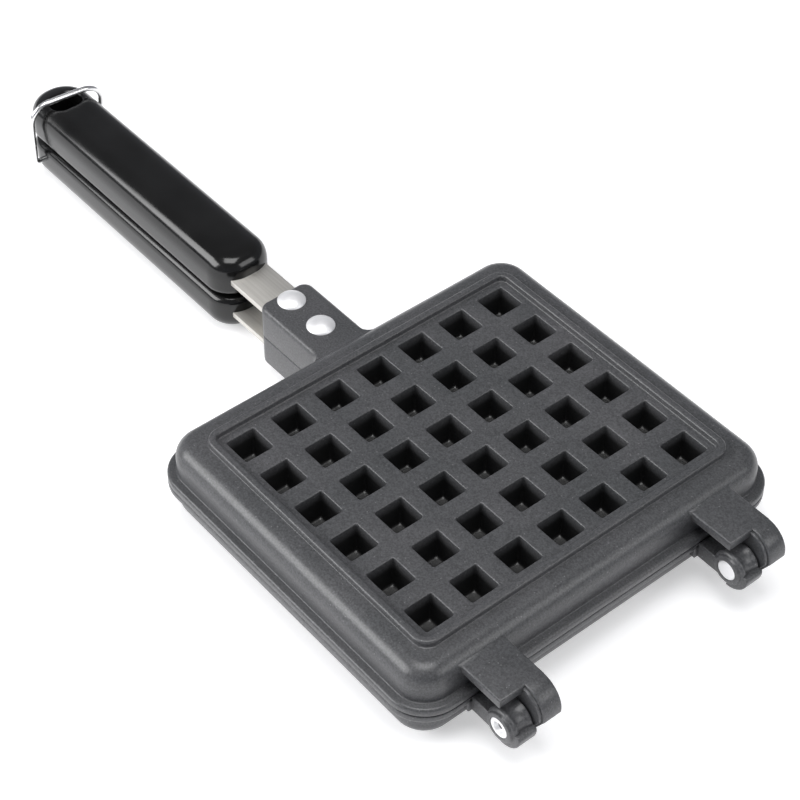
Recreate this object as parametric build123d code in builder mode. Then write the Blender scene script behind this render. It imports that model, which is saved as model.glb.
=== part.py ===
from build123d import *
import os

os.makedirs("parts", exist_ok=True)

# Stovetop waffle pan: two cast halves hinged at the front, with a riveted tang and a
# moulded grip on each, and a wire bail that holds the closed grips together.
# X runs from the grips to the hinge, Z is up, and Z = 0 is the surface the pan stands on.

# Waffle pattern
pitch = 18.0            # spacing of the pegs both ways
pegs_x = 6              # pegs from handle to hinge
pegs_y = 7              # pegs across the pan
mouth = 11.0            # width of a hollow peg's opening on the outside
mouth_corner = 1.0      # corner radius of that opening
draft = 5.0             # casting draft of pegs and openings, in degrees
peg_wall = 1.8          # metal between the opening and the peg's own side
peg_tip = 1.8           # metal at the end of a peg
peg_short = 2.6         # distance from a peg's end to the parting plane

# Casting
panel_height = 15.3     # outer face of the panel above the parting plane
panel_thick = 3.0
ridge_height = 2.3      # ring that the pan stands on, above the panel
ridge_inset = 8.5       # from the outermost peg centres to the ring's inner side
ridge_width = 3.1
ridge_corner = 3.0
ridge_round = 0.8
wall_inset = 18.9       # from the outermost peg centres to the pan's side wall
wall_corner = 16.0
shoulder_round = 4.6
wall_thick = 4.6
rim_width = 3.0         # the rim sticks out this far past the side wall
rim_thick = 2.9
rim_round = 1.1
rim_gap = 0.3           # air between the two rims when the pan is shut

# Lug that carries the tang
lug_width = 21.6
lug_reach = 32.0        # from the rim to the end of the lug
lug_height = 13.1       # top of the lug above the parting plane
lug_corner = 4.0
lug_round = 1.2

# Steel tang and its rivets
tang_width = 15.5
tang_thick = 2.3
tang_top = 8.8          # top face above the parting plane
tang_in_lug = 28.0
tang_shown = 18.0       # bare steel between lug and grip
tang_in_grip = 42.0
tang_corner = 2.0
rivet_spacing = 16.5
rivet_from_end = 5.6    # from the end of the lug to the first rivet
rivet_shank = 5.0
rivet_head = 10.2
rivet_dome = 2.0
rivet_tail = 7.6
rivet_tail_thick = 1.5

# Grip
grip_length = 133.0
grip_width = 24.5
grip_height = 15.4
grip_gap = 1.6          # air between the two closed grips
grip_front_corner = 9.0
grip_rear_corner = 11.6
grip_rear_drop = 3.6    # the grip gets thinner by this much at its rear end
grip_rear_slope = 24.0  # length over which it does
grip_top_round = 5.0
grip_bottom_round = 2.6
eye_length = 9.0        # hanging eye, along the grip
eye_width = 13.0
eye_corner = 4.0
eye_from_end = 9.5      # from the rear end of the grip to the eye

# Wire bail
wire = 2.2
bail_from_end = 12.0    # from the rear end of the grip to the bail's pivot
bail_depth = 8.0        # pivot below the parting plane
bail_lean = 5.0         # the crossbar lies this far ahead of the pivot
bail_side_gap = 0.4
bail_top_gap = 0.4
bail_hook = 4.0
bail_bend = 3.0
bail_hole_gap = 0.05

# Hinge
hinge_reach = 15.4      # pin axis beyond the rim
hinge_span = 96.0       # distance between the two hinges
hinge_shift = -1.6      # both hinges lie this far to one side
arm_width = 17.4
arm_top = 12.7          # flat face of an upper arm above the parting plane
arm_thick = 4.2
ear_gap = 0.4
ear_round = 8.8         # outer curl of an upper ear
knuckle_radius = 6.3
toe_radius = 7.9        # lip that curls up round a lower knuckle
toe_rise = 1.0
toe_inset = 1.2
arm_clearance = 0.5
pin_shank = 4.8
pin_head = 7.4
pin_head_thick = 1.0
pin_running_gap = 0.06
pin_head_gap = 0.3

# Sizes that follow from the ones above
grid_x = (pegs_x - 1) * pitch / 2
grid_y = (pegs_y - 1) * pitch / 2
ring_x = grid_x + ridge_inset + ridge_width
ring_y = grid_y + ridge_inset + ridge_width
wall_x = grid_x + wall_inset
wall_y = grid_y + wall_inset
rim_x = wall_x + rim_width
rim_y = wall_y + rim_width
rim_face = rim_gap / 2
parting = panel_height + ridge_height
lug_end = rim_x + lug_reach
tang_bottom = tang_top - tang_thick
tang_start = lug_end - tang_in_lug
grip_front = lug_end + tang_shown
tang_end = grip_front + tang_in_grip
grip_end = grip_front + grip_length
grip_low = grip_gap / 2
grip_top = grip_low + grip_height
pin_x = rim_x + hinge_reach
bail_x = -grip_end + bail_from_end
bail_y = grip_width / 2 + bail_side_gap + wire / 2
hook_bend = bail_side_gap + wire / 2
bail_z = parting + grip_top + bail_top_gap + wire / 2
ear_width = (arm_width - ear_gap) / 2
peg_base = mouth + 2 * peg_wall
rivet_places = [(-lug_end + rivet_from_end, 0), (-lug_end + rivet_from_end + rivet_spacing, 0)]
dome_sphere = (rivet_head**2 / 4 + rivet_dome**2) / (2 * rivet_dome)
hinge_places = [hinge_shift - hinge_span / 2, hinge_shift + hinge_span / 2]

# One half's casting, with its rim at the parting plane and its panel above it
with BuildPart() as casting:
    # rim, then the bowl's outside with its rounded shoulder
    with BuildSketch(Plane.XY.offset(rim_face)):
        RectangleRounded(2 * rim_x, 2 * rim_y, wall_corner + rim_width)
    extrude(amount=rim_thick)
    fillet(casting.faces().sort_by(Axis.Z)[-1].edges(), radius=rim_round)
    with BuildSketch(Plane.XY.offset(rim_face)):
        RectangleRounded(2 * wall_x, 2 * wall_y, wall_corner)
    extrude(amount=panel_height - rim_face)
    fillet(casting.faces().sort_by(Axis.Z)[-1].edges(), radius=shoulder_round)
    # standing ring
    with BuildSketch(Plane.XY.offset(panel_height)):
        RectangleRounded(2 * ring_x, 2 * ring_y, ridge_corner + ridge_width)
        RectangleRounded(2 * (ring_x - ridge_width), 2 * (ring_y - ridge_width), ridge_corner, mode=Mode.SUBTRACT)
    extrude(amount=ridge_height)
    fillet(casting.faces().sort_by(Axis.Z)[-1].edges(), radius=ridge_round)
    # hollow inside the side wall
    with BuildSketch(Plane.XY):
        RectangleRounded(2 * (wall_x - wall_thick), 2 * (wall_y - wall_thick), wall_corner - wall_thick)
    extrude(amount=panel_height - panel_thick, mode=Mode.SUBTRACT)
    # pegs, hanging from the panel towards the parting plane
    with BuildSketch(Plane.XY.offset(panel_height - panel_thick)):
        with GridLocations(pitch, pitch, pegs_x, pegs_y):
            Rectangle(peg_base, peg_base)
    extrude(amount=-(panel_height - panel_thick - peg_short), taper=draft)
    # each peg is hollow and open on the outside of the pan
    with BuildSketch(Plane.XY.offset(panel_height)):
        with GridLocations(pitch, pitch, pegs_x, pegs_y):
            RectangleRounded(mouth, mouth, mouth_corner)
    extrude(amount=-(panel_height - peg_short - peg_tip), taper=draft, mode=Mode.SUBTRACT)

# Lug for the tang, rounded at its corners
with BuildPart() as lug:
    with BuildSketch(Plane.XY.offset(rim_face)) as lug_outline:
        with Locations((-(lug_end + wall_x - wall_thick) / 2, 0)):
            Rectangle(lug_end - wall_x + wall_thick, lug_width)
        fillet(lug_outline.vertices().group_by(Axis.X)[0], radius=lug_corner)
    extrude(amount=lug_height - rim_face)
    fillet(lug.faces().sort_by(Axis.Z)[-1].edges().sort_by(Axis.X)[:-1], radius=lug_round)
    # slot for the tang
    with BuildSketch(Plane.XY.offset(tang_bottom)):
        with Locations((-(lug_end + tang_start) / 2, 0)):
            Rectangle(lug_end - tang_start, tang_width)
    extrude(amount=tang_thick, mode=Mode.SUBTRACT)
    # rivet holes, with a recess for each tail
    with BuildSketch(Plane.XY):
        with Locations(*rivet_places):
            Circle(rivet_shank / 2)
    extrude(amount=lug_height, mode=Mode.SUBTRACT)
    with BuildSketch(Plane.XY):
        with Locations(*rivet_places):
            Circle(rivet_tail / 2)
    extrude(amount=rim_face + rivet_tail_thick, mode=Mode.SUBTRACT)

# Hinge arms of the upper half: a flat-topped arm whose ear curls down round the pin
with BuildPart() as upper_arms:
    for hinge_y in hinge_places:
        # the arm itself
        with BuildSketch(Plane.XY.offset(arm_top - arm_thick)):
            with Locations(((wall_x - wall_thick + pin_x) / 2, hinge_y)):
                Rectangle(pin_x - wall_x + wall_thick, arm_width)
        extrude(amount=arm_thick)
        # the ear on its far side
        with BuildSketch(Plane.XZ.offset(-(hinge_y + arm_width / 2))):
            with BuildLine():
                Polyline(
                    (pin_x, arm_top),
                    (wall_x - wall_thick, arm_top),
                    (wall_x - wall_thick, rim_face),
                    (pin_x - knuckle_radius, rim_face),
                    (pin_x, -knuckle_radius),
                )
                Line((pin_x, -knuckle_radius), (pin_x + ear_round, arm_top - ear_round - 1))
                Line((pin_x + ear_round, arm_top - ear_round - 1), (pin_x + ear_round, arm_top - ear_round))
                RadiusArc((pin_x + ear_round, arm_top - ear_round), (pin_x, arm_top), -ear_round)
            make_face()
            with Locations((pin_x, 0)):
                Circle(knuckle_radius)
        extrude(amount=ear_width)
    # bores for the pins, with a recess for each pin's far head
    for hinge_y in hinge_places:
        with BuildSketch(Plane.XZ.offset(-(hinge_y + arm_width / 2))):
            with Locations((pin_x, 0)):
                Circle(pin_shank / 2 + pin_running_gap)
        extrude(amount=ear_width, mode=Mode.SUBTRACT)
        with BuildSketch(Plane.XZ.offset(-(hinge_y + arm_width / 2))):
            with Locations((pin_x, 0)):
                Circle(pin_head / 2 + pin_head_gap)
        extrude(amount=pin_head_thick + pin_head_gap, mode=Mode.SUBTRACT)

# Hinge arms of the lower half: a knuckle round the pin, with a lip that curls up from below
with BuildPart() as lower_arms:
    for hinge_y in hinge_places:
        with BuildSketch(Plane.XZ.offset(-(hinge_y - arm_width / 2))):
            with Locations(((wall_x - wall_thick + pin_x) / 2, -(knuckle_radius + rim_face) / 2)):
                Rectangle(pin_x - wall_x + wall_thick, knuckle_radius - rim_face)
            with Locations((pin_x, 0)):
                Circle(knuckle_radius)
        extrude(amount=-ear_width)
        # lip round the knuckle
        with BuildSketch(Plane.XZ.offset(-(hinge_y - arm_width / 2 + toe_inset))) as lip:
            with Locations((pin_x, 0)):
                Circle(toe_radius)
            with Locations((pin_x, toe_rise)):
                Rectangle(2 * toe_radius, toe_radius, align=(Align.CENTER, Align.MIN), mode=Mode.SUBTRACT)
            with Locations((pin_x, toe_rise)):
                Rectangle(toe_radius, 2 * toe_radius, align=(Align.MAX, Align.MAX), mode=Mode.SUBTRACT)
        extrude(amount=-(ear_width - toe_inset))
        # root of the arm, full width, clear of the upper ear when the pan lies open
        with BuildSketch(Plane.XY.offset(-knuckle_radius)):
            with Locations(((wall_x - wall_thick + rim_x) / 2, hinge_y)):
                Rectangle(rim_x - wall_x + wall_thick, arm_width)
        extrude(amount=knuckle_radius - rim_face)
    for hinge_y in hinge_places:
        with BuildSketch(Plane.XZ.offset(-(hinge_y - arm_width / 2))):
            with Locations((pin_x, 0)):
                Circle(pin_shank / 2)
        extrude(amount=-ear_width, mode=Mode.SUBTRACT)
        with BuildSketch(Plane.XZ.offset(-(hinge_y - arm_width / 2))):
            with Locations((pin_x, 0)):
                Circle(pin_head / 2)
        extrude(amount=-pin_head_thick, mode=Mode.SUBTRACT)

# The two finished castings
with BuildPart() as upper_plate:
    add(casting.part.moved(Location((0, 0, parting))))
    add(lug.part.moved(Location((0, 0, parting))))
    add(upper_arms.part.moved(Location((0, 0, parting))))
with BuildPart() as lower_plate:
    add(casting.part.rotate(Axis.X, 180).moved(Location((0, 0, parting))))
    add(lug.part.rotate(Axis.X, 180).moved(Location((0, 0, parting))))
    add(lower_arms.part.moved(Location((0, 0, parting))))

# Steel tang
with BuildPart() as upper_tang:
    with BuildSketch(Plane.XY.offset(parting + tang_bottom)) as tang_outline:
        with Locations((-(tang_start + tang_end) / 2, 0)):
            Rectangle(tang_end - tang_start, tang_width)
        fillet(tang_outline.vertices().group_by(Axis.X)[0], radius=tang_corner)
    extrude(amount=tang_thick)
    with BuildSketch(Plane.XY.offset(parting + tang_bottom)):
        with Locations(*rivet_places):
            Circle(rivet_shank / 2)
    extrude(amount=tang_thick, mode=Mode.SUBTRACT)

# Rivets through the lug and the tang, with a domed head outside and a flat tail inside
with BuildPart() as upper_rivets:
    with Locations(*[(x, y, parting + lug_height + rivet_dome - dome_sphere) for x, y in rivet_places]):
        Sphere(dome_sphere)
    split(bisect_by=Plane.XY.offset(parting + lug_height), keep=Keep.TOP)
    with BuildSketch(Plane.XY.offset(parting + rim_face)):
        with Locations(*rivet_places):
            Circle(rivet_shank / 2)
    extrude(amount=lug_height - rim_face)
    with BuildSketch(Plane.XY.offset(parting + rim_face)):
        with Locations(*rivet_places):
            Circle(rivet_tail / 2)
    extrude(amount=rivet_tail_thick)

# Grip, thinner towards its rear end, with a hanging eye
with BuildPart() as upper_grip:
    with BuildSketch(Plane.XY.offset(parting + grip_low)) as grip_outline:
        with Locations((-(grip_front + grip_end) / 2, 0)):
            Rectangle(grip_length, grip_width)
        fillet(grip_outline.vertices().group_by(Axis.X)[-1], radius=grip_front_corner)
        fillet(grip_outline.vertices().group_by(Axis.X)[0], radius=grip_rear_corner)
    extrude(amount=grip_height)
    # the top falls away in a long curve towards the rear end
    with BuildSketch(Plane.XZ.offset(-grip_width)):
        with BuildLine():
            TangentArc((-grip_end + grip_rear_slope, parting + grip_top), (-grip_end, parting + grip_top - grip_rear_drop), tangent=(-1, 0))
            Polyline(
                (-grip_end, parting + grip_top - grip_rear_drop),
                (-grip_end - 1, parting + grip_top - grip_rear_drop),
                (-grip_end - 1, parting + grip_top + 1),
                (-grip_end + grip_rear_slope, parting + grip_top + 1),
                (-grip_end + grip_rear_slope, parting + grip_top),
            )
        make_face()
    extrude(amount=2 * grip_width, mode=Mode.SUBTRACT)
    fillet(upper_grip.faces().sort_by(Axis.Z)[0].edges(), radius=grip_bottom_round)
    fillet(upper_grip.edges().filter_by(lambda e: e.center().Z > parting + grip_top - grip_rear_drop - 0.1), radius=grip_top_round)
    # slot for the tang, and the hanging eye
    with BuildSketch(Plane.XY.offset(parting + tang_bottom)):
        with Locations((-(grip_front + tang_end) / 2, 0)):
            Rectangle(tang_in_grip, tang_width)
    extrude(amount=tang_thick, mode=Mode.SUBTRACT)
    with BuildSketch(Plane.XY.offset(parting)):
        with Locations((-grip_end + eye_from_end + eye_length / 2, 0)):
            RectangleRounded(eye_length, eye_width, eye_corner)
    extrude(amount=2 * grip_top, mode=Mode.SUBTRACT)

# The lower half's tang, rivets and grip are the same parts turned over
with BuildPart() as lower_tang:
    add(upper_tang.part.rotate(Axis((0, 0, parting), (1, 0, 0)), 180))
with BuildPart() as lower_rivets:
    add(upper_rivets.part.rotate(Axis((0, 0, parting), (1, 0, 0)), 180))
with BuildPart() as lower_grip:
    add(upper_grip.part.rotate(Axis((0, 0, parting), (1, 0, 0)), 180))
    # holes in its sides for the ends of the bail
    for side in (-1, 1):
        with BuildSketch(Plane.XZ.offset(side * grip_width / 2)):
            with Locations((bail_x, parting - bail_depth)):
                Circle(wire / 2 + bail_hole_gap)
        extrude(amount=-side * (bail_hook + 0.5), mode=Mode.SUBTRACT)

# Wire bail: two hooked legs and a crossbar
with BuildPart() as bail:
    with BuildLine() as bail_path:
        FilletPolyline(
            (bail_x, -bail_y + bail_hook + bail_side_gap + wire / 2, parting - bail_depth),
            (bail_x, -bail_y, parting - bail_depth),
            (bail_x + bail_lean, -bail_y, bail_z),
            (bail_x + bail_lean, bail_y, bail_z),
            (bail_x, bail_y, parting - bail_depth),
            (bail_x, bail_y - bail_hook - bail_side_gap - wire / 2, parting - bail_depth),
            radius=[hook_bend, bail_bend, bail_bend, hook_bend],
        )
    with BuildSketch(Plane(origin=bail_path.line @ 0, z_dir=bail_path.line % 0)):
        Circle(wire / 2)
    sweep()

# Hinge pins, each a rivet with a flat head at both ends
with BuildPart() as hinge_pins:
    for hinge_y in hinge_places:
        with BuildSketch(Plane.XZ.offset(-(hinge_y - arm_width / 2))):
            with Locations((pin_x, parting)):
                Circle(pin_shank / 2)
        extrude(amount=-(arm_width - pin_head_thick / 2))
        with BuildSketch(Plane.XZ.offset(-(hinge_y - arm_width / 2))):
            with Locations((pin_x, parting)):
                Circle(pin_head / 2)
        extrude(amount=-pin_head_thick)
        with BuildSketch(Plane.XZ.offset(-(hinge_y + arm_width / 2))):
            with Locations((pin_x, parting)):
                Circle(pin_head / 2)
        extrude(amount=pin_head_thick)

upper_plate.part.label = "upper_plate"
export_step(upper_plate.part, "parts/upper_plate.step")
lower_plate.part.label = "lower_plate"
export_step(lower_plate.part, "parts/lower_plate.step")
upper_tang.part.label = "upper_tang"
export_step(upper_tang.part, "parts/upper_tang.step")
lower_tang.part.label = "lower_tang"
export_step(lower_tang.part, "parts/lower_tang.step")
upper_rivets.part.label = "upper_rivets"
export_step(upper_rivets.part, "parts/upper_rivets.step")
lower_rivets.part.label = "lower_rivets"
export_step(lower_rivets.part, "parts/lower_rivets.step")
upper_grip.part.label = "upper_grip"
export_step(upper_grip.part, "parts/upper_grip.step")
lower_grip.part.label = "lower_grip"
export_step(lower_grip.part, "parts/lower_grip.step")
bail.part.label = "bail"
export_step(bail.part, "parts/bail.step")
hinge_pins.part.label = "hinge_pins"
export_step(hinge_pins.part, "parts/hinge_pins.step")
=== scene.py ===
# %% [markdown]
# # Stovetop waffle pan
# The pan's castings, tangs, rivets, pins, grips and bail come in as ready solids. This file
# makes each of them again with its finer forms, gives it its finish, and sets up the camera
# and the light. Everything is in metres, and Z = 0 is the surface that the pan stands on.

# %% Load the solids
import math
import bpy
import bmesh
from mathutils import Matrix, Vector


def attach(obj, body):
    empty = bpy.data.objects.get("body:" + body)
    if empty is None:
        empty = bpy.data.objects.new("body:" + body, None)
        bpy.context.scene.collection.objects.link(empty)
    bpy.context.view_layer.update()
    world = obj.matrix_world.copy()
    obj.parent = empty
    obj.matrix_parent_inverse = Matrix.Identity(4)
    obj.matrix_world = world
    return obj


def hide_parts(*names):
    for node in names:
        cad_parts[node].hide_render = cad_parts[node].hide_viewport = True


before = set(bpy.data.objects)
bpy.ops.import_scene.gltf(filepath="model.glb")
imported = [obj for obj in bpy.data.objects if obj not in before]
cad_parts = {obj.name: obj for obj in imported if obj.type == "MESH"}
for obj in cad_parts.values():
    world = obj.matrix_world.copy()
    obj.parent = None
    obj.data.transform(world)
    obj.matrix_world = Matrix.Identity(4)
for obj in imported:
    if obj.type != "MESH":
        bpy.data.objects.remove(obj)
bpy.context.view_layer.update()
print("solids:", sorted(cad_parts))

# %% [markdown]
# ## Camera
# The photograph was taken with a long lens from high on the hinge side. The 42 openings of
# the plate form an exact grid, so their places in the picture fix the camera: it looks
# along azimuth 50 degrees and 45 degrees down. A long lens keeps the far rows nearly as
# large as the near ones.

# %% Camera
camera_data = bpy.data.cameras.new("camera")
sensor, focal_pixels, picture_width = 36.0, 2116.95, 800.0
camera_data.sensor_width = sensor
camera_data.lens = sensor * focal_pixels / picture_width
camera_data.clip_end = 20.0
camera = bpy.data.objects.new("camera", camera_data)
camera.location = (0.34917, -0.32009, 0.52961)
camera.rotation_euler = (0.78258, -0.005466, 0.88026)
bpy.context.scene.collection.objects.link(camera)
bpy.context.scene.camera = camera
print("lens", round(camera_data.lens, 2))

# %% [markdown]
# ## Node helpers
# Every finish below is a small node tree. These helpers make a node, link it and set its
# sockets in one line, so that each finish reads as a list of what it is made of. Textures
# take their place from the piece itself, so the grain has one size wherever the pan stands.


# %% Node helpers
def new_material(name):
    material = bpy.data.materials.new(name)
    material.use_nodes = True
    tree = material.node_tree
    tree.nodes.clear()
    output = tree.nodes.new("ShaderNodeOutputMaterial")
    shader = tree.nodes.new("ShaderNodeBsdfPrincipled")
    tree.links.new(shader.outputs[0], output.inputs[0])
    place = tree.nodes.new("ShaderNodeTexCoord")
    return material, tree, shader, place.outputs["Object"]


def add_node(tree, kind, links=None, **values):
    node = tree.nodes.new(kind)
    for name, value in values.items():
        setattr(node, name, value)
    for socket, source in (links or {}).items():
        if isinstance(source, bpy.types.NodeSocket):
            tree.links.new(source, node.inputs[socket])
        else:
            node.inputs[socket].default_value = source
    return node


def noise(tree, place, scale, detail=4.0, roughness=0.5):
    sockets = {"Vector": place, "Scale": scale, "Detail": detail, "Roughness": roughness}
    return add_node(tree, "ShaderNodeTexNoise", sockets).outputs["Fac"]


def ramp(tree, source, low, high, low_colour, high_colour):
    node = add_node(tree, "ShaderNodeValToRGB", {"Fac": source})
    node.color_ramp.elements[0].position = low
    node.color_ramp.elements[1].position = high
    node.color_ramp.elements[0].color = (*low_colour, 1)
    node.color_ramp.elements[1].color = (*high_colour, 1)
    return node.outputs["Color"]


def remap(tree, source, from_low, from_high, to_low, to_high):
    sockets = {"Value": source, "From Min": from_low, "From Max": from_high}
    sockets |= {"To Min": to_low, "To Max": to_high}
    return add_node(tree, "ShaderNodeMapRange", sockets).outputs["Result"]


def mix(tree, factor, first, second, blend="MIX"):
    sockets = {"Factor": factor, "A": first, "B": second}
    node = add_node(tree, "ShaderNodeMix", sockets, data_type="RGBA", blend_type=blend)
    return node.outputs["Result"]


def bump(tree, shader, height, strength, distance):
    sockets = {"Height": height, "Strength": strength, "Distance": distance}
    node = add_node(tree, "ShaderNodeBump", sockets)
    tree.links.new(node.outputs["Normal"], shader.inputs["Normal"])


# %% [markdown]
# ## Finishes
# The castings have a sprayed non-stick coat over sand-blasted aluminium: dark grey, half
# matte, with a fine orange-peel grain and sparse pale specks. Down in the openings the
# colour is darkened to nearly black, as painted shade. The grips are moulded in a glossy
# black resin. Tangs are satin stamped steel, and the rivets, the pins and the bail are bright
# metal.


# %% Coated casting
def coated_casting():
    material, tree, shader, place = new_material("coated_casting")
    patches = noise(tree, place, 30.0, 3.0)
    sand = noise(tree, place, 1500.0, 2.0, 0.7)
    base = ramp(tree, patches, 0.3, 0.7, (0.056, 0.058, 0.061), (0.072, 0.072, 0.076))
    grain = ramp(tree, sand, 0.32, 0.72, (0.62, 0.62, 0.62), (1.45, 1.45, 1.45))
    sanded = mix(tree, 1.0, base, grain, "MULTIPLY")
    spots = {"Vector": place, "Scale": 420.0, "Randomness": 1.0}
    specks = add_node(tree, "ShaderNodeTexVoronoi", spots, feature="F1")
    speck = ramp(tree, specks.outputs["Distance"], 0.05, 0.12, (1, 1, 1), (0, 0, 0))
    speckled = mix(tree, speck, sanded, (0.16, 0.16, 0.165, 1))
    # Painted shade: deeper in each opening, the coat's colour is darkened towards near black.
    painted_shade_depth = add_node(tree, "ShaderNodeAttribute", attribute_name="painted_shade_depth")
    depth = remap(tree, painted_shade_depth.outputs["Fac"], 0.04, 0.4, 0.0, 0.93)
    deep = mix(tree, depth, speckled, (0.004, 0.004, 0.004, 1))
    tree.links.new(deep, shader.inputs["Base Color"])
    tree.links.new(remap(tree, patches, 0.3, 0.7, 0.29, 0.36), shader.inputs["Roughness"])
    bump(tree, shader, sand, 0.22, 0.00012)
    return material


# %% Moulded grip
def moulded_grip():
    material, tree, shader, place = new_material("moulded_grip")
    flow = noise(tree, place, 60.0, 2.0)
    colour = ramp(tree, flow, 0.3, 0.7, (0.003, 0.003, 0.003), (0.006, 0.006, 0.006))
    tree.links.new(colour, shader.inputs["Base Color"])
    tree.links.new(remap(tree, flow, 0.3, 0.7, 0.15, 0.20), shader.inputs["Roughness"])
    bump(tree, shader, flow, 0.06, 0.0003)
    return material


# %% Metals
def satin_steel():
    material, tree, shader, place = new_material("satin_steel")
    along = {"Vector": place, "Scale": (25.0, 1100.0, 1100.0)}
    stretch = add_node(tree, "ShaderNodeMapping", along)
    lines = noise(tree, stretch.outputs[0], 1.0, 3.0, 0.6)
    fine = noise(tree, place, 1600.0, 2.0, 0.6)
    colour = ramp(tree, lines, 0.3, 0.7, (0.60, 0.58, 0.54), (0.70, 0.68, 0.64))
    tree.links.new(colour, shader.inputs["Base Color"])
    shader.inputs["Metallic"].default_value = 0.75
    tree.links.new(remap(tree, fine, 0.3, 0.7, 0.34, 0.46), shader.inputs["Roughness"])
    bump(tree, shader, fine, 0.15, 0.00005)
    return material


def bright_metal(name, colour, rough, metallic=1.0):
    material, tree, shader, place = new_material(name)
    mottle = noise(tree, place, 320.0, 4.0)
    tint = ramp(tree, mottle, 0.3, 0.7, tuple(c * 0.94 for c in colour), colour)
    tree.links.new(tint, shader.inputs["Base Color"])
    shader.inputs["Metallic"].default_value = metallic
    tree.links.new(remap(tree, mottle, 0.3, 0.7, rough, rough + 0.1), shader.inputs["Roughness"])
    bump(tree, shader, mottle, 0.12, 0.00006)
    return material


coat = coated_casting()
grip_black = moulded_grip()
steel = satin_steel()
aluminium = bright_metal("bright_aluminium", (0.93, 0.93, 0.94), 0.40, 0.55)
plated = bright_metal("plated_wire", (0.88, 0.88, 0.88), 0.18)
finishes = (coat, grip_black, steel, aluminium, plated)
print("finishes:", [finish.name for finish in finishes])

# %% [markdown]
# ## Plate sizes
# Most are the solids' own sizes, in metres. The wall and the rim stand 1.9 mm further out,
# where the photograph has them. Heights are counted outward from the parting plane, where
# the two rims meet, so one set of shapes serves both halves: the lower half is the upper one
# turned over about the pan's long axis.

# %% Plate sizes
mm = 0.001
pitch = 18 * mm
pegs_x, pegs_y = 6, 7
grid_x = (pegs_x - 1) * pitch / 2
grid_y = (pegs_y - 1) * pitch / 2
parting = 17.6 * mm
panel = 15.3 * mm
panel_inside = 12.3 * mm
mouth = 11.0 * mm
peg_base = 14.6 * mm
peg_end = 2.6 * mm
opening_end = 4.4 * mm
draft = math.tan(math.radians(5))
pin_x = 82.3 * mm
hinge_places = (-49.6 * mm, 46.4 * mm)
arm_start = 62.5 * mm
print("pegs:", pegs_x * pegs_y)

# %% [markdown]
# ## Meshes from rings
# Cast and moulded shapes are made here like a stack of hoops. Each hoop is a ring of points,
# and is joined to the next one. Rings with the same number of points join as four-sided
# faces, which shade smoothly and round an edge with just a few more rings.


# %% Ring helpers
def arc(centre, radius, start, end, steps):
    """Points of an arc in a flat drawing, from one angle to another, in degrees."""
    turns = [math.radians(start + (end - start) * i / steps) for i in range(steps + 1)]
    return [(centre[0] + radius * math.cos(t), centre[1] + radius * math.sin(t)) for t in turns]


def rounded_ring(half_x, half_y, radius, height, steps):
    """A rounded rectangle at one height, anticlockwise from its right side."""
    points = []
    for quarter, (sx, sy) in enumerate(((1, 1), (-1, 1), (-1, -1), (1, -1))):
        corner = (sx * (half_x - radius), sy * (half_y - radius))
        start = 90 * quarter
        points += [(x, y, height) for x, y in arc(corner, radius, start, start + 90, steps)]
    return points


def circle(radius, steps, centre=(0, 0)):
    """Points of a full circle, without the last one, which would repeat the first."""
    return arc(centre, radius, 0, 360 - 360 / steps, steps - 1)


def gap(ring, other):
    """The largest distance between matching points of two rings."""
    return max(math.dist(a, b) for a, b in zip(ring, other))


def mesh_from_rings(name, rings, close_first=False, close_last=False, loop=False):
    """Joins rings one to the next. The ends can be capped, or joined to each other."""
    same = 0.002 * mm
    rings = [r for i, r in enumerate(rings) if i == 0 or gap(r, rings[i - 1]) > same]
    count = len(rings[0])
    vertices = [point for ring in rings for point in ring]
    faces = []
    for low in range(len(rings) if loop else len(rings) - 1):
        high = (low + 1) % len(rings)
        for i in range(count):
            j = (i + 1) % count
            near, far = low * count, high * count
            faces.append((near + i, near + j, far + j, far + i))
    if close_first:
        faces.append(tuple(reversed(range(count))))
    if close_last:
        faces.append(tuple(range((len(rings) - 1) * count, len(rings) * count)))
    mesh = bpy.data.meshes.new(name)
    mesh.from_pydata(vertices, [], faces)
    return mesh


def shade(work, sharp):
    """Shades smoothly, apart from edges that turn by more than an angle in degrees."""
    limit = math.radians(sharp)
    for face in work.faces:
        face.smooth = True
    for edge in work.edges:
        edge.smooth = len(edge.link_faces) == 2 and edge.calc_face_angle() < limit


def tidied(mesh, sharp):
    """Points faces outwards and shades them."""
    work = bmesh.new()
    work.from_mesh(mesh)
    bmesh.ops.recalc_face_normals(work, faces=work.faces)
    shade(work, sharp)
    work.to_mesh(mesh)
    work.free()
    return mesh


def joined(name, meshes):
    """One mesh from several. Where a part has no opening depths for the painted shade, they are
    zero.
    """
    work = bmesh.new()
    work.verts.layers.float.new("painted_shade_depth")
    for mesh in meshes:
        work.from_mesh(mesh)
    mesh = bpy.data.meshes.new(name)
    work.to_mesh(mesh)
    work.free()
    return mesh


def turned_over(mesh):
    """The same shape on the lower half: half a turn about the long axis."""
    copy = mesh.copy()
    for vertex in copy.vertices:
        x, y, z = vertex.co
        vertex.co = (x, -y, 2 * parting - z)
    return copy


def new_piece(name, mesh, material=None):
    piece = bpy.data.objects.new(name, mesh)
    bpy.context.scene.collection.objects.link(piece)
    if material is not None:
        mesh.materials.clear()
        mesh.materials.append(material)
    return piece


# %% Edge rounding
def rounded_stack(outline, low, high, low_round, high_round, place, steps=4):
    """Rings of a plate whose two rims are rounded. outline(inset) gives its drawn-in edge."""
    turns = [math.pi / 2 * i / steps for i in range(steps + 1)]
    rings = [(low_round * (1 - math.sin(t)), low + low_round * (1 - math.cos(t))) for t in turns]
    rings += [
        (high_round * (1 - math.cos(t)), high - high_round * (1 - math.sin(t))) for t in turns
    ]
    return [[place(u, v, w) for u, v in outline(inset)] for inset, w in rings]


def flat(u, v, w):
    """Lays a drawing flat, with its thickness upwards."""
    return (u, v, parting + w)


def upright(u, v, w):
    """Stands a drawing up, with its thickness along the hinge."""
    return (u, w, parting + v)


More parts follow.
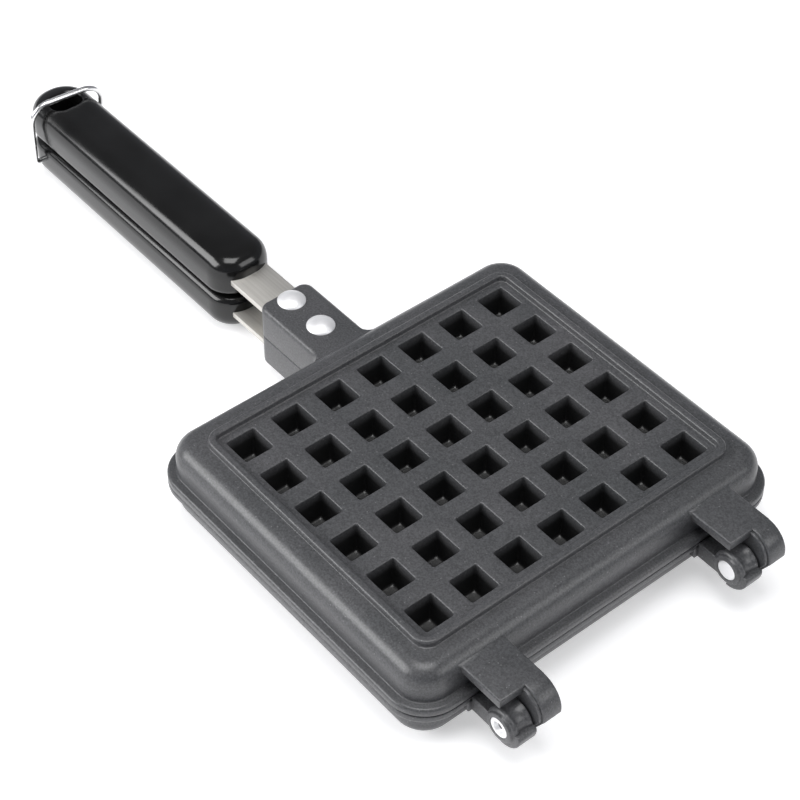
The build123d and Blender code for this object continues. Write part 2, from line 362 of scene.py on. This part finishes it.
def plate(name, outline, low, high, low_round, high_round, place, steps=4):
    """A closed plate with rounded rims."""
    rings = rounded_stack(outline, low, high, low_round, high_round, place, steps)
    return mesh_from_rings(name, rings, close_first=True, close_last=True)


# %% [markdown]
# ## The casting's frame
# Round the pegs runs a standing ring, then a broad shoulder, the side wall and the rim. It
# is one section carried round a rounded rectangle, so the section is drawn once, as pairs
# of distance outward and height. Small fillets where two faces meet are what a sand-blasted
# casting shows as soft lines of light.


# %% Section of the frame
# Distances outward from the centres of the outer pegs, in millimetres.
panel_edge, shoulder_in, wall_out, rim_out = 8.0, 14.0, 20.6, 23.8


def frame_section():
    """The section in millimetres: first the outside, then back along the inside."""
    section = [(panel_edge, 15.0)]
    section += arc((panel_edge, 15.8), 0.5, 270, 360, 3)
    section += arc((9.3, 16.8), 0.8, 180, 90, 4)
    section += arc((10.4, 16.8), 0.8, 90, 0, 4)
    section += arc((11.6, 15.7), 0.4, 180, 270, 3)
    section += arc((shoulder_in, 8.7), 6.6, 90, 0, 14)
    section += arc((wall_out + 0.5, 3.55), 0.5, 180, 270, 3)
    section += arc((rim_out - 1.1, 1.95), 1.1, 90, 0, 5)
    section += arc((rim_out - 0.45, 0.6), 0.45, 0, -90, 3)
    section += arc((wall_out - 4.0, 0.75), 0.6, 270, 180, 3)
    section += arc((wall_out - 6.1, 10.8), 1.5, 0, 90, 4)
    section += [(panel_edge, 12.35)]
    return section


def corner_radius(outward):
    """Corner radius at a distance outward, from a few known ones."""
    known = (
        (panel_edge, 2.5), (11.2, 5.7), (shoulder_in, 4.2), (wall_out, 10.8), (rim_out, 14.0),
    )
    for (a, low), (b, high) in zip(known, known[1:]):
        if outward <= b:
            return low + (high - low) * (outward - a) / (b - a)
    return known[-1][1]


def casting_frame():
    rings = []
    for outward, height in frame_section():
        reach, radius = outward * mm, corner_radius(outward) * mm
        half_x, half_y = grid_x + reach, grid_y + reach
        rings.append(rounded_ring(half_x, half_y, radius, parting + height * mm, 16))
    return tidied(mesh_from_rings("casting_frame", rings, loop=True), 60)


frame_mesh = casting_frame()
print("frame faces:", len(frame_mesh.polygons))

# %% [markdown]
# ## One waffle cell
# Seen from outside, a cell is a square opening with a soft lip. Seen from inside, it is a
# peg that presses the batter. Each is a stack of small rings round the cell's centre, and
# its outermost ring is the edge of a square patch, so that cells join edge to edge. The
# vertices also carry a number, how deep in an opening each one is, which the finish uses
# to paint shade into the openings.


# %% Rings of a cell
def patch_ring(half, ring, height):
    """Points on a square's edge, one for each point of the rounded ring inside it."""
    count = len(ring) // 4
    middle = (count - 1) / 2
    points = []
    for quarter in range(4):
        for step in range(count):
            x, y, _ = ring[quarter * count + step]
            corner_x, corner_y = math.copysign(half, x), math.copysign(half, y)
            share = abs(step - middle) / middle
            upright_edge = step <= middle if quarter % 2 == 0 else step >= middle
            if upright_edge:
                points.append((corner_x, corner_y * (1 - share) + y * share, height))
            else:
                points.append((corner_x * (1 - share) + x * share, corner_y, height))
    return points


def opening_rings():
    half, lip, steps = mouth / 2, 0.5 * mm, 4
    top = rounded_ring(half + lip, half + lip, 1.3 * mm, panel, steps)
    rings = [patch_ring(pitch / 2, top, panel), top]
    for turn in (30, 60, 90):
        a = math.radians(turn)
        grow = lip * (1 - math.sin(a))
        height = panel - lip * (1 - math.cos(a))
        rings.append(rounded_ring(half + grow, half + grow, 0.8 * mm + grow, height, steps))
    for inset, lift, radius in ((0, 0.9, 0.8), (0.25, 0.25, 0.9), (0.9, 0, 0.9)):
        height = opening_end + lift * mm
        deep = half - draft * (panel - lip - height) - inset * mm
        rings.append(rounded_ring(deep, deep, radius * mm, height, steps))
    return rings


def peg_rings():
    base, steps = peg_base / 2, 4
    foot = rounded_ring(base + 0.9 * mm, base + 0.9 * mm, 2.4 * mm, panel_inside, steps)
    rings = [patch_ring(pitch / 2, foot, panel_inside), foot]
    for inset, drop, radius in ((-0.25, 0.25, 1.9), (0, 0.9, 1.6)):
        side, height = base - inset * mm, panel_inside - drop * mm
        rings.append(rounded_ring(side, side, radius * mm, height, steps))
    for inset, lift, radius in ((0, 0.8, 1.5), (0.25, 0.2, 1.4), (0.8, 0, 1.2)):
        side = base - draft * (panel_inside - peg_end - lift * mm) - inset * mm
        rings.append(rounded_ring(side, side, radius * mm, peg_end + lift * mm, steps))
    return rings


# %% Cell mesh
def cell_mesh():
    """The two faces of a cell, turned away from each other, with the opening depths that the
    finish turns into painted shade.
    """
    outside = mesh_from_rings("cell_outside", opening_rings(), close_last=True)
    inside = mesh_from_rings("cell_inside", peg_rings(), close_last=True)
    work = bmesh.new()
    painted_shade_depth = work.verts.layers.float.new("painted_shade_depth")
    for mesh, up in ((outside, True), (inside, False)):
        first_face, first_vert = len(work.faces), len(work.verts)
        work.from_mesh(mesh)
        work.faces.ensure_lookup_table()
        work.verts.ensure_lookup_table()
        added = work.faces[first_face:]
        bmesh.ops.recalc_face_normals(work, faces=added)
        if (sum(f.normal.z * f.calc_area() for f in added) > 0) != up:
            bmesh.ops.reverse_faces(work, faces=added)
        if up:
            for vert in work.verts[first_vert:]:
                # Depth in the opening, which the coat turns into painted shade.
                vert[painted_shade_depth] = min(max((panel - vert.co.z) / (panel - opening_end), 0), 1)
    mesh = bpy.data.meshes.new("waffle_cell")
    work.to_mesh(mesh)
    work.free()
    return mesh


cell = new_piece("waffle_cell", cell_mesh(), coat)
print("cell faces:", len(cell.data.polygons))

# %% [markdown]
# ## The panel, with Geometry Nodes
# Forty-two equal cells stand on an exact grid. A small tree makes the grid of points, puts
# a cell on each, makes the copies real, welds their shared edges and sets the finish. Its
# inputs are the numbers a maker would change: how many pegs each way, and their spacing.


# %% Start and end of a tree
def new_tree(name, inputs):
    """An empty tree with named inputs. Returns the tree and the inputs' sockets."""
    tree = bpy.data.node_groups.new(name, "GeometryNodeTree")
    for label, kind in ({"Geometry": "Geometry"} | inputs | {"Finish": "Material"}).items():
        tree.interface.new_socket(label, in_out="INPUT", socket_type="NodeSocket" + kind)
    tree.interface.new_socket("Geometry", in_out="OUTPUT", socket_type="NodeSocketGeometry")
    return tree, tree.nodes.new("NodeGroupInput").outputs


def copies_on(tree, points, source):
    """Real copies of an object on points."""
    shape = add_node(tree, "GeometryNodeObjectInfo", {"Object": source})
    sockets = {"Points": points, "Instance": shape.outputs["Geometry"]}
    copies = add_node(tree, "GeometryNodeInstanceOnPoints", sockets)
    return add_node(tree, "GeometryNodeRealizeInstances", {"Geometry": copies.outputs[0]})


def end_tree(tree, shape, given):
    """Sets the finish and leads the shape out of the tree."""
    sockets = {"Geometry": shape.outputs[0], "Material": given["Finish"]}
    finished = add_node(tree, "GeometryNodeSetMaterial", sockets)
    end = tree.nodes.new("NodeGroupOutput")
    tree.links.new(finished.outputs[0], end.inputs[0])
    return tree


# %% Panel tree
def panel_tree():
    tree, given = new_tree("waffle_panel", {
        "Cell": "Object", "Pegs along": "Int", "Pegs across": "Int",
        "Spacing": "Float", "Height": "Float",
    })

    def length_of(count):
        less = add_node(tree, "ShaderNodeMath", {0: given[count], 1: 1.0}, operation="SUBTRACT")
        terms = {0: less.outputs[0], 1: given["Spacing"]}
        return add_node(tree, "ShaderNodeMath", terms, operation="MULTIPLY").outputs[0]

    grid = add_node(tree, "GeometryNodeMeshGrid", {
        "Size X": length_of("Pegs along"), "Size Y": length_of("Pegs across"),
        "Vertices X": given["Pegs along"], "Vertices Y": given["Pegs across"],
    })
    lift = add_node(tree, "ShaderNodeCombineXYZ", {"Z": given["Height"]})
    sockets = {"Geometry": grid.outputs["Mesh"], "Offset": lift.outputs[0]}
    raised = add_node(tree, "GeometryNodeSetPosition", sockets)
    real = copies_on(tree, raised.outputs[0], given["Cell"])
    sockets = {"Geometry": real.outputs[0], "Distance": 0.02 * mm}
    welded = add_node(tree, "GeometryNodeMergeByDistance", sockets)
    return end_tree(tree, welded, given)


# %% Run a tree and keep its mesh
def mesh_from_tree(tree, name, values, start_mesh=None):
    """Runs a Geometry Nodes tree and returns the plain mesh that it makes."""
    host = new_piece(name, start_mesh or bpy.data.meshes.new(name))
    modifier = host.modifiers.new("make", "NODES")
    modifier.node_group = tree
    for item in tree.interface.items_tree:
        if item.item_type == "SOCKET" and item.in_out == "INPUT" and item.name in values:
            modifier[item.identifier] = values[item.name]
    depsgraph = bpy.context.evaluated_depsgraph_get()
    mesh = bpy.data.meshes.new_from_object(host.evaluated_get(depsgraph))
    host.modifiers.clear()
    bpy.data.objects.remove(host)
    mesh.name = name
    return mesh


panel_mesh = mesh_from_tree(panel_tree(), "waffle_panel", {
    "Cell": cell, "Pegs along": pegs_x, "Pegs across": pegs_y,
    "Spacing": pitch, "Height": parting, "Finish": coat,
})
bpy.data.objects.remove(cell)
print("panel faces:", len(panel_mesh.polygons))


# %% Close the panel's edge
def close_edge(mesh):
    """Joins the open edges of the panel's two faces, out of sight inside the frame."""
    work = bmesh.new()
    work.from_mesh(mesh)
    open_edges = [edge for edge in work.edges if len(edge.link_faces) == 1]
    bmesh.ops.bridge_loops(work, edges=open_edges)
    shade(work, 50)
    left = sum(len(edge.link_faces) != 2 for edge in work.edges)
    work.to_mesh(mesh)
    work.free()
    print("open edges left in the panel:", left)
    return mesh


close_edge(panel_mesh)

# %% [markdown]
# ## Lug
# The lug is a thick cast bar that grows out of the side wall on two fillets. Its rings are
# the outline seen from above, drawn in a little more towards the top for the soft edge.


# %% Lug
def lug_outline(inset):
    half, end = 10.8 * mm - inset, -98.9 * mm + inset
    root = -grid_x - (wall_out - 2.1) * mm
    blend, corner = 4 * mm + inset, 4 * mm - inset
    points = arc((root - blend, -half - blend), blend, 0, 90, 6)
    points += arc((end + corner, -half + corner), corner, 270, 180, 8)
    points += arc((end + corner, half - corner), corner, 180, 90, 8)
    points += arc((root - blend, half + blend), blend, 270, 360, 6)
    inside, side = root + 2 * mm, half + blend + 1 * mm
    return points + [(inside, side), (inside, -side)]


lug_low, lug_high = 0.15 * mm, 13.1 * mm
lug_mesh = tidied(plate("lug", lug_outline, lug_low, lug_high, 0.4 * mm, 2.0 * mm, flat, 6), 50)
print("lug faces:", len(lug_mesh.polygons))

# %% [markdown]
# ## Hinge of the upper half
# An upper arm is a flat plate whose ear curls down round the pin. The ear has a step
# towards the knuckle beside it, and a recess for the far head of the pin. The face round the
# recess is made by carrying the ear's outline in to a circle at the same angles.


# %% Hinge helpers
def parts_of(points, centre, step=10):
    """How many parts each side of an outline needs, so that none looks long from the centre."""
    angles = [math.atan2(y - centre[1], x - centre[0]) for x, y in points]
    parts = []
    for i, angle in enumerate(angles):
        turn = angles[(i + 1) % len(angles)] - angle
        parts.append(max(1, math.ceil(abs((math.degrees(turn) + 180) % 360 - 180) / step)))
    return parts


def spread(points, parts):
    """Divides each side of an outline into its number of parts."""
    full = []
    for i, (a, count) in enumerate(zip(points, parts)):
        b = points[(i + 1) % len(points)]
        across, along = b[0] - a[0], b[1] - a[1]
        full += [(a[0] + across * k / count, a[1] + along * k / count) for k in range(count)]
    return full


def circle_like(points, centre, radius):
    """Points of a circle at the same angles as an outline's points."""
    angles = [math.atan2(y - centre[1], x - centre[0]) for x, y in points]
    return [(centre[0] + radius * math.cos(a), centre[1] + radius * math.sin(a)) for a in angles]


def turned(name, profile, y, steps=40, loop=True):
    """A turned part on the pin's axis. The profile is pairs of distance along and radius."""
    rings = []
    for along, radius in profile:
        points = circle(radius * mm, steps, (pin_x, 0))
        rings.append([upright(u, v, y + along * mm) for u, v in points])
    closed = not loop
    mesh = mesh_from_rings(name, rings, loop=loop, close_first=closed, close_last=closed)
    return tidied(mesh, 40)


# %% Upper arms
# The ear ends just under the arm's top, so that no two faces lie in one plane.
arm_top, ear_top = 12.7 * mm, 12.66 * mm


def arm_outline(inset):
    half, blend = 8.7 * mm - inset, 1.5 * mm + inset
    root = grid_x + (wall_out - 1.4) * mm
    inside, side = root - 2 * mm, half + blend + 1 * mm
    points = [(inside, side), (inside, -side)]
    points += arc((root + blend, -half - blend), blend, 180, 90, 6)
    points += [(pin_x - inset, -half), (pin_x - inset, half)]
    return points + arc((root + blend, half + blend), blend, 270, 180, 6)


def ear_corners(inset):
    """The ear from the side. The inset leaves the edge inside the casting alone."""
    knuckle, curl = 6.3 * mm - inset, 8.8 * mm - inset
    points = [(arm_start, ear_top - inset)]
    points += arc((pin_x, 3.86 * mm), curl, 90, 0, 16)
    points += arc((pin_x + 8.0 * mm - inset, 3.0 * mm), 0.8 * mm, 0, -47, 3)
    points += arc((pin_x, 0), knuckle, -43, -178, 18)
    return points[:-1] + [(pin_x - knuckle, 0.15 * mm), (arm_start, 0.15 * mm)]


ear_parts = parts_of(ear_corners(0), (pin_x, 0))


def ear_outline(inset):
    return spread(ear_corners(inset), ear_parts)


def upper_arm(y):
    def place_arm(u, v, w):
        return (u, y + v, parting + w)

    def place_ear(u, v, w):
        return (u, y + w, parting + v)

    def step_outline(inset):
        return ear_outline(0.9 * mm + inset)

    arm = plate("arm", arm_outline, 9.3 * mm, arm_top, 0.5 * mm, 0.6 * mm, place_arm)
    step = plate("step", step_outline, 0.2 * mm, 1.6 * mm, 0.35 * mm, 0.1 * mm, place_ear, 3)
    rings = rounded_stack(ear_outline, 1.2 * mm, 8.7 * mm, 0.45 * mm, 0.7 * mm, place_ear)
    for depth, radius in ((8.7, 4.3), (8.55, 4.0), (7.4, 4.0), (7.4, 2.5)):
        recess = circle_like(ear_outline(0), (pin_x, 0), radius * mm)
        rings.append([place_ear(u, v, depth * mm) for u, v in recess])
    ear = mesh_from_rings("ear", rings, close_first=True, close_last=True)
    return [tidied(arm, 50), tidied(step, 40), tidied(ear, 40)]


upper_arms = [mesh for y in hinge_places for mesh in upper_arm(y)]
print("upper arm faces:", sum(len(mesh.polygons) for mesh in upper_arms))

# %% [markdown]
# ## Hinge of the lower half
# A lower knuckle is a spool turned about the pin, with a flange at the near face. A lip
# curls up round its front from below, and a web carries it to a root on the side wall.


# %% Lower arms
# Pairs of distance along the pin and radius, in millimetres.
knuckle_profile = (
    (-8.7, 3.72), (-8.7, 4.9), (-8.55, 5.25), (-8.2, 5.4), (-7.8, 5.5), (-7.55, 6.0), (-7.1, 6.3),
    (-6.5, 6.3), (-6.1, 6.15), (-5.7, 5.8), (-5.0, 5.6), (-3.0, 5.6), (-2.2, 5.75), (-1.4, 6.0),
    (-0.6, 6.1), (-0.3, 5.9), (-0.2, 5.5), (-0.2, 2.41), (-7.7, 2.41), (-7.7, 3.72),
)


def bar_outline(front, inset):
    high, low = -0.15 * mm - inset, -6.3 * mm + inset
    return [(arm_start, high), (arm_start, low), (front, low), (front, high)]


def web_outline(inset):
    return bar_outline(pin_x, inset)


def root_outline(inset):
    return bar_outline(68.8 * mm - inset, inset)


def lip_outline(inset):
    radius = 7.9 * mm - inset
    points = arc((pin_x, 0), radius, -90, 2, 14)
    points += arc((pin_x + 7.1 * mm - inset, 0.3 * mm), 0.7 * mm, 15, 90, 3)
    return points + [(pin_x + 5.6 * mm, 1.0 * mm - inset), (pin_x + 3 * mm, 0), (pin_x, -3 * mm)]


def lower_arm(y):
    def place(u, v, w):
        return (u, y + w, parting + v)

    knuckle = turned("knuckle", knuckle_profile, y)
    web = plate("web", web_outline, -7.2 * mm, -0.2 * mm, 0.5 * mm, 0.4 * mm, place)
    root = plate("root", root_outline, -8.7 * mm, 8.7 * mm, 0.6 * mm, 0.6 * mm, place)
    lip = plate("lip", lip_outline, -7.5 * mm, -0.2 * mm, 0.6 * mm, 0.4 * mm, place)
    return [knuckle, tidied(web, 40), tidied(root, 40), tidied(lip, 40)]


lower_arms = [mesh for y in hinge_places for mesh in lower_arm(y)]
print("lower arm faces:", sum(len(mesh.polygons) for mesh in lower_arms))

# %% [markdown]
# ## The two castings
# The parts above now become one mesh for each half, coated all over.


# %% Castings
upper_parts = [frame_mesh, panel_mesh, lug_mesh]
lower_parts = [turned_over(mesh) for mesh in upper_parts]
upper_mesh = joined("upper_casting", upper_parts + upper_arms)
lower_mesh = joined("lower_casting", lower_parts + lower_arms)
upper_casting = new_piece("upper_casting", upper_mesh, coat)
lower_casting = new_piece("lower_casting", lower_mesh, coat)
for piece, node, body in (
    (upper_casting, "upper_plate", "upper_half"), (lower_casting, "lower_plate", "lower_half"),
):
    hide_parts(node)
    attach(piece, body)
    print(piece.name, len(piece.data.polygons), "faces")

# %% [markdown]
# ## Tangs and rivets
# A tang is a stamped strip, so its edges are only just broken. The
# rivets are cold-formed: a low dome with a soft border. Each half has two, on a straight
# line, and a small tree sets them there.


# %% Tangs
def tang_outline(inset):
    half, corner = 7.75 * mm - inset, 2 * mm - inset
    back, front = -158.9 * mm + inset, -70.9 * mm - inset
    points = arc((back + corner, half - corner), corner, 90, 180, 4)
    points += arc((back + corner, -half + corner), corner, 180, 270, 4)
    return points + [(front, -half), (front, half)]


tang_low, tang_high = 6.5 * mm, 8.8 * mm
tang_plate = plate("tang", tang_outline, tang_low, tang_high, 0.2 * mm, 0.2 * mm, flat, 2)
tang_mesh = tidied(tang_plate, 30)
upper_strip = new_piece("upper_strip", tang_mesh, steel)
lower_strip = new_piece("lower_strip", turned_over(tang_mesh), steel)
for piece, node, body in (
    (upper_strip, "upper_tang", "upper_half"), (lower_strip, "lower_tang", "lower_half"),
):
    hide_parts(node)
    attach(piece, body)
print("tang faces:", len(tang_mesh.polygons))


# %% One rivet
# Pairs of radius and height above the parting plane, in millimetres: the domed head, the
# shank and the closed tail.
rivet_profile = (
    (0.0001, 15.1), (1.3, 15.03), (2.5, 14.78), (3.5, 14.42), (4.3, 13.95), (4.8, 13.55),
    (5.05, 13.25), (5.1, 13.05), (2.5, 13.0), (2.5, 1.7), (3.7, 1.65), (3.8, 1.5), (3.8, 0.3),
    (3.65, 0.15), (0.0001, 0.15),
)


def rivet_mesh():
    """A rivet standing at the origin of its own drawing, with its axis up."""
    rings = []
    for radius, height in rivet_profile:
        rings.append([(x, y, height * mm) for x, y in circle(radius * mm, 36)])
    return tidied(mesh_from_rings("rivet", rings, close_first=True, close_last=True), 50)


def rivet_tree():
    tree, given = new_tree("rivet_row", {
        "Rivet": "Object", "Count": "Int", "First": "Vector", "Spacing": "Vector",
    })
    line = add_node(tree, "GeometryNodeMeshLine", {
        "Count": given["Count"], "Start Location": given["First"], "Offset": given["Spacing"],
    })
    return end_tree(tree, copies_on(tree, line.outputs[0], given["Rivet"]), given)


rivet = new_piece("rivet", rivet_mesh(), aluminium)
rivet_row = mesh_from_tree(rivet_tree(), "rivet_row", {
    "Rivet": rivet, "Count": 2, "First": (-93.3 * mm, 0, parting),
    "Spacing": (16.5 * mm, 0, 0), "Finish": aluminium,
})
bpy.data.objects.remove(rivet)
for name, mesh, node, body in (
    ("upper_rivet_pair", rivet_row, "upper_rivets", "upper_half"),
    ("lower_rivet_pair", turned_over(rivet_row), "lower_rivets", "lower_half"),
):
    piece = new_piece(name, mesh)
    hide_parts(node)
    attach(piece, body)
print("rivet faces:", len(rivet_row.polygons))

# %% [markdown]
# ## Grips
# A grip is moulded in one piece: flat below, with a full crown above, round ends seen from
# above, and a hanging eye near the rear, where the top falls away a little. Its rings start
# on the lower edge of the eye, run out under the grip, up its side, in over its crown, and
# down through the eye to where they began, so the mesh is closed like a tyre.


# %% Grip
grip_low, grip_top = 0.8 * mm, 16.2 * mm
grip_front, grip_rear, grip_half = -116.9 * mm, -249.9 * mm, 12.25 * mm
front_corner, rear_corner = 10.5 * mm, 11.8 * mm
eye_centre = -235.6 * mm
low_round, eye_round = 3.0 * mm, 1.3 * mm
crown_in, crown_down, fullness = 8.8 * mm, 9.0 * mm, 2.7
crown_flat = 4.2 * mm
fall_start, fall_run, rear_fall = -230.9 * mm, 19 * mm, 0.4 * mm


def grip_outline(inset):
    half = grip_half - inset
    front, rear = front_corner - inset, rear_corner - inset
    ahead, behind = grip_front - inset - front, grip_rear + inset + rear
    points = arc((ahead, half - front), front, 0, 90, 12)
    points += arc((behind, half - rear), rear, 90, 180, 12)
    points += arc((behind, -half + rear), rear, 180, 270, 12)
    return points + arc((ahead, -half + front), front, 270, 360, 12)


def eye_outline(grow):
    half_x, half_y, corner = 4.5 * mm + grow, 6.3 * mm + grow, 4 * mm + grow
    ring = rounded_ring(half_x, half_y, corner, 0, 12)
    return [(eye_centre + x, y) for x, y, _ in ring]


def inward(x, y):
    """Distance of a point from the grip's outline, seen from above."""
    in_front = x > (grip_front + grip_rear) / 2
    radius = front_corner if in_front else rear_corner
    from_end = grip_front - x if in_front else x - grip_rear
    from_side = grip_half - abs(y)
    if from_end < radius and from_side < radius:
        return radius - math.hypot(radius - from_end, radius - from_side)
    return min(from_end, from_side)


def top_height(x, y, share=1.0):
    """Height of the crowned top, which falls away towards the rear end."""
    edge = 1 - min(max(inward(x, y) / crown_in, 0), 1)
    run = min(max((fall_start - x) / fall_run, 0), 1)
    crown = crown_down * (1 - (1 - edge ** fullness) ** (1 / fullness))
    return grip_top - crown - rear_fall * run * run * share


def between(first, last, part):
    """Points a part of the way from one outline to another."""
    pairs = zip(first, last)
    return [(a[0] + (b[0] - a[0]) * part, a[1] + (b[1] - a[1]) * part) for a, b in pairs]


def rounding(radius, step, steps):
    """Distances in and up at one step of a rounded edge."""
    turn = math.pi / 2 * step / steps
    return radius * (1 - math.sin(turn)), radius * (1 - math.cos(turn))


def grip_rings():
    rings = []

    def flat_ring(points, height):
        rings.append([(x, y, parting + height) for x, y in points])

    def crown_ring(points, sunk=0.0, share=1.0):
        rings.append([(x, y, parting + top_height(x, y, share) - sunk) for x, y in points])

    wide_eye = eye_outline(eye_round)
    for step in range(5):
        up, out = rounding(eye_round, step, 4)
        flat_ring(eye_outline(out), grip_low + up)
    for part in (0.02, 0.06, 0.13, 0.25, 0.42, 0.66):
        flat_ring(between(wide_eye, grip_outline(low_round), part), grip_low)
    for step in range(9):
        inset, up = rounding(low_round, step, 8)
        flat_ring(grip_outline(inset), grip_low + up)
    for step in range(18):
        inset = crown_flat * (1 - math.cos(math.pi / 2 * step / 17)) ** 1.4
        crown_ring(grip_outline(inset), share=(inset / crown_flat) ** 0.4)
    for part in (0.015, 0.04, 0.34, 0.58, 0.75, 0.87, 0.94, 0.98):
        crown_ring(between(grip_outline(crown_flat), wide_eye, part))
    for step in range(5):
        down, out = rounding(eye_round, 4 - step, 4)
        crown_ring(eye_outline(out), down)
    return rings


grip_mesh = tidied(mesh_from_rings("grip", grip_rings(), loop=True), 70)
upper_handle = new_piece("upper_handle", grip_mesh, grip_black)
lower_handle = new_piece("lower_handle", turned_over(grip_mesh), grip_black)
for piece, node, body in (
    (upper_handle, "upper_grip", "upper_half"), (lower_handle, "lower_grip", "lower_half"),
):
    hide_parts(node)
    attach(piece, body)
print("grip faces:", len(grip_mesh.polygons))

# %% [markdown]
# ## Bail, with Geometry Nodes
# The bail is one wire bent along a path. The path is a chain of corner points, and each
# corner carries its own bend radius in millimetres. The tree rounds the corners, sweeps a
# circle along the path and closes both ends.


# %% Bail tree
def wire_tree():
    tree, given = new_tree("bent_wire", {"Wire radius": "Float", "Steps per bend": "Int"})
    named = {"Name": "bend"}
    bend = add_node(tree, "GeometryNodeInputNamedAttribute", named, data_type="FLOAT")
    path = add_node(tree, "GeometryNodeMeshToCurve", {"Mesh": given["Geometry"]})
    rounded = add_node(tree, "GeometryNodeFilletCurve", {
        "Curve": path.outputs[0], "Count": given["Steps per bend"],
        "Radius": bend.outputs["Attribute"], "Limit Radius": True,
    }, mode="POLY")
    sockets = {"Resolution": 16, "Radius": given["Wire radius"]}
    section = add_node(tree, "GeometryNodeCurvePrimitiveCircle", sockets)
    wire = add_node(tree, "GeometryNodeCurveToMesh", {
        "Curve": rounded.outputs[0], "Profile Curve": section.outputs[0], "Fill Caps": True,
    })
    smooth = add_node(tree, "GeometryNodeSetShadeSmooth", {"Geometry": wire.outputs[0]})
    real = add_node(tree, "GeometryNodeRealizeInstances", {"Geometry": smooth.outputs[0]})
    return end_tree(tree, real, given)


# %% Bail
def bail_path():
    pivot, side, hook = -237.9 * mm, 15.2 * mm, 5.4 * mm
    low, high = parting - 8 * mm, parting + 18.3 * mm
    inner = side - hook - 1.5 * mm
    corners = [
        (pivot, -inner, low, 0), (pivot, -side, low, 1.5), (-236.6 * mm, -15.0 * mm, high, 8.0),
        (-233.9 * mm, 15.2 * mm, high, 8.0), (pivot, side, low, 1.5), (pivot, inner, low, 0),
    ]
    mesh = bpy.data.meshes.new("bail_path")
    edges = [(i, i + 1) for i in range(len(corners) - 1)]
    mesh.from_pydata([corner[:3] for corner in corners], edges, [])
    bends = mesh.attributes.new("bend", "FLOAT", "POINT")
    for i, corner in enumerate(corners):
        bends.data[i].value = corner[3] * mm
    return mesh


bail_values = {"Wire radius": 1.1 * mm, "Steps per bend": 12, "Finish": plated}
bail_mesh = tidied(mesh_from_tree(wire_tree(), "bail_wire", bail_values, bail_path()), 60)
bail_wire = new_piece("bail_wire", bail_mesh)
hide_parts("bail")
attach(bail_wire, "bail")
print("bail faces:", len(bail_mesh.polygons))

# %% [markdown]
# ## Hinge pins
# Each pin is a rivet closed at both ends. The one at the near corner was closed with a
# punch that left a dimple, and the other has a plain low head.


# %% Hinge pins
# Pairs of distance along the pin and radius, in millimetres.
pin_body = [
    (-8.7, 3.3), (-8.55, 3.58), (-8.3, 3.68), (-7.72, 3.68), (-7.7, 2.38), (7.6, 2.38),
    (7.62, 3.68), (8.3, 3.68), (8.6, 3.5), (8.7, 3.2), (8.74, 0.01),
]
dimple = [(-6.6, 0.01), (-6.7, 1.5), (-7.1, 1.9), (-8.3, 2.1), (-8.65, 2.3), (-8.75, 2.6)]
plain_head = [(-8.85, 0.01), (-8.82, 1.6), (-8.76, 2.6)]


pins = []
for y, face in zip(hinge_places, (dimple, plain_head)):
    pins.append(turned("pin", face + pin_body, y, loop=False))
hinge_rivets = new_piece("hinge_rivets", joined("hinge_rivets", pins), aluminium)
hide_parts("hinge_pins")
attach(hinge_rivets, "lower_half")
print("pin faces:", len(hinge_rivets.data.polygons))

# %% [markdown]
# ## Floor and light
# The floor is white in the picture because its own colour is pale, with a little glow that
# only the camera and glossy surfaces see. It still takes the pan's shadow. The lamps are
# large, so that the shadows are soft.


# %% Floor
floor_glow, floor_reach = 0.42, 3.0


def pale_floor():
    material, tree, shader, _ = new_material("pale_floor")
    shader.inputs["Base Color"].default_value = (0.84, 0.84, 0.85, 1)
    shader.inputs["Roughness"].default_value = 0.9
    shader.inputs["Specular IOR Level"].default_value = 0.1
    path = add_node(tree, "ShaderNodeLightPath")
    rays = {0: path.outputs["Is Camera Ray"], 1: path.outputs["Is Glossy Ray"]}
    seen = add_node(tree, "ShaderNodeMath", rays, operation="MAXIMUM")
    shader.inputs["Emission Color"].default_value = (1, 1, 1, 1)
    terms = {0: seen.outputs[0], 1: floor_glow}
    glow = add_node(tree, "ShaderNodeMath", terms, operation="MULTIPLY")
    tree.links.new(glow.outputs[0], shader.inputs["Emission Strength"])
    return material


floor_mesh = bpy.data.meshes.new("floor")
corner_signs = ((-1, -1), (1, -1), (1, 1), (-1, 1))
floor_corners = [(x * floor_reach, y * floor_reach, 0) for x, y in corner_signs]
floor_mesh.from_pydata(floor_corners, [], [(0, 1, 2, 3)])
floor_mesh.materials.append(pale_floor())
floor = bpy.data.objects.new("floor", floor_mesh)
bpy.context.scene.collection.objects.link(floor)
print("floor:", 2 * floor_reach, "m square")


# %% Lamps
def soft_box(name, at, size, power):
    """A rectangular lamp that looks at the origin."""
    data = bpy.data.lights.new(name, "AREA")
    data.shape = "RECTANGLE"
    data.size, data.size_y = size
    data.energy = power
    lamp = bpy.data.objects.new(name, data)
    lamp.location = at
    lamp.rotation_euler = (-Vector(at)).to_track_quat("-Z", "Y").to_euler()
    bpy.context.scene.collection.objects.link(lamp)


soft_box("left_box", (-0.75, -1.25, 0.85), (1.3, 0.9), 25)
soft_box("right_box", (1.3, 0.6, 0.9), (0.8, 0.8), 6)
soft_box("top_box", (0.1, -0.1, 1.7), (1.0, 1.0), 16)
print("lamps:", [lamp.name for lamp in bpy.data.lights])

# %% World
horizon, overhead = (0.33, 0.34, 0.37), (0.26, 0.26, 0.27)
world = bpy.data.worlds.new("studio")
world.use_nodes = True
bpy.context.scene.world = world
sky = world.node_tree
sky_place = sky.nodes.new("ShaderNodeTexCoord")
sky_height = add_node(sky, "ShaderNodeSeparateXYZ", {"Vector": sky_place.outputs["Generated"]})
sky_colour = ramp(sky, sky_height.outputs["Z"], 0.35, 0.8, horizon, overhead)
sky.links.new(sky_colour, sky.nodes["Background"].inputs["Color"])
sky.nodes["Background"].inputs["Strength"].default_value = 0.8
bpy.context.scene.view_settings.view_transform = "Standard"
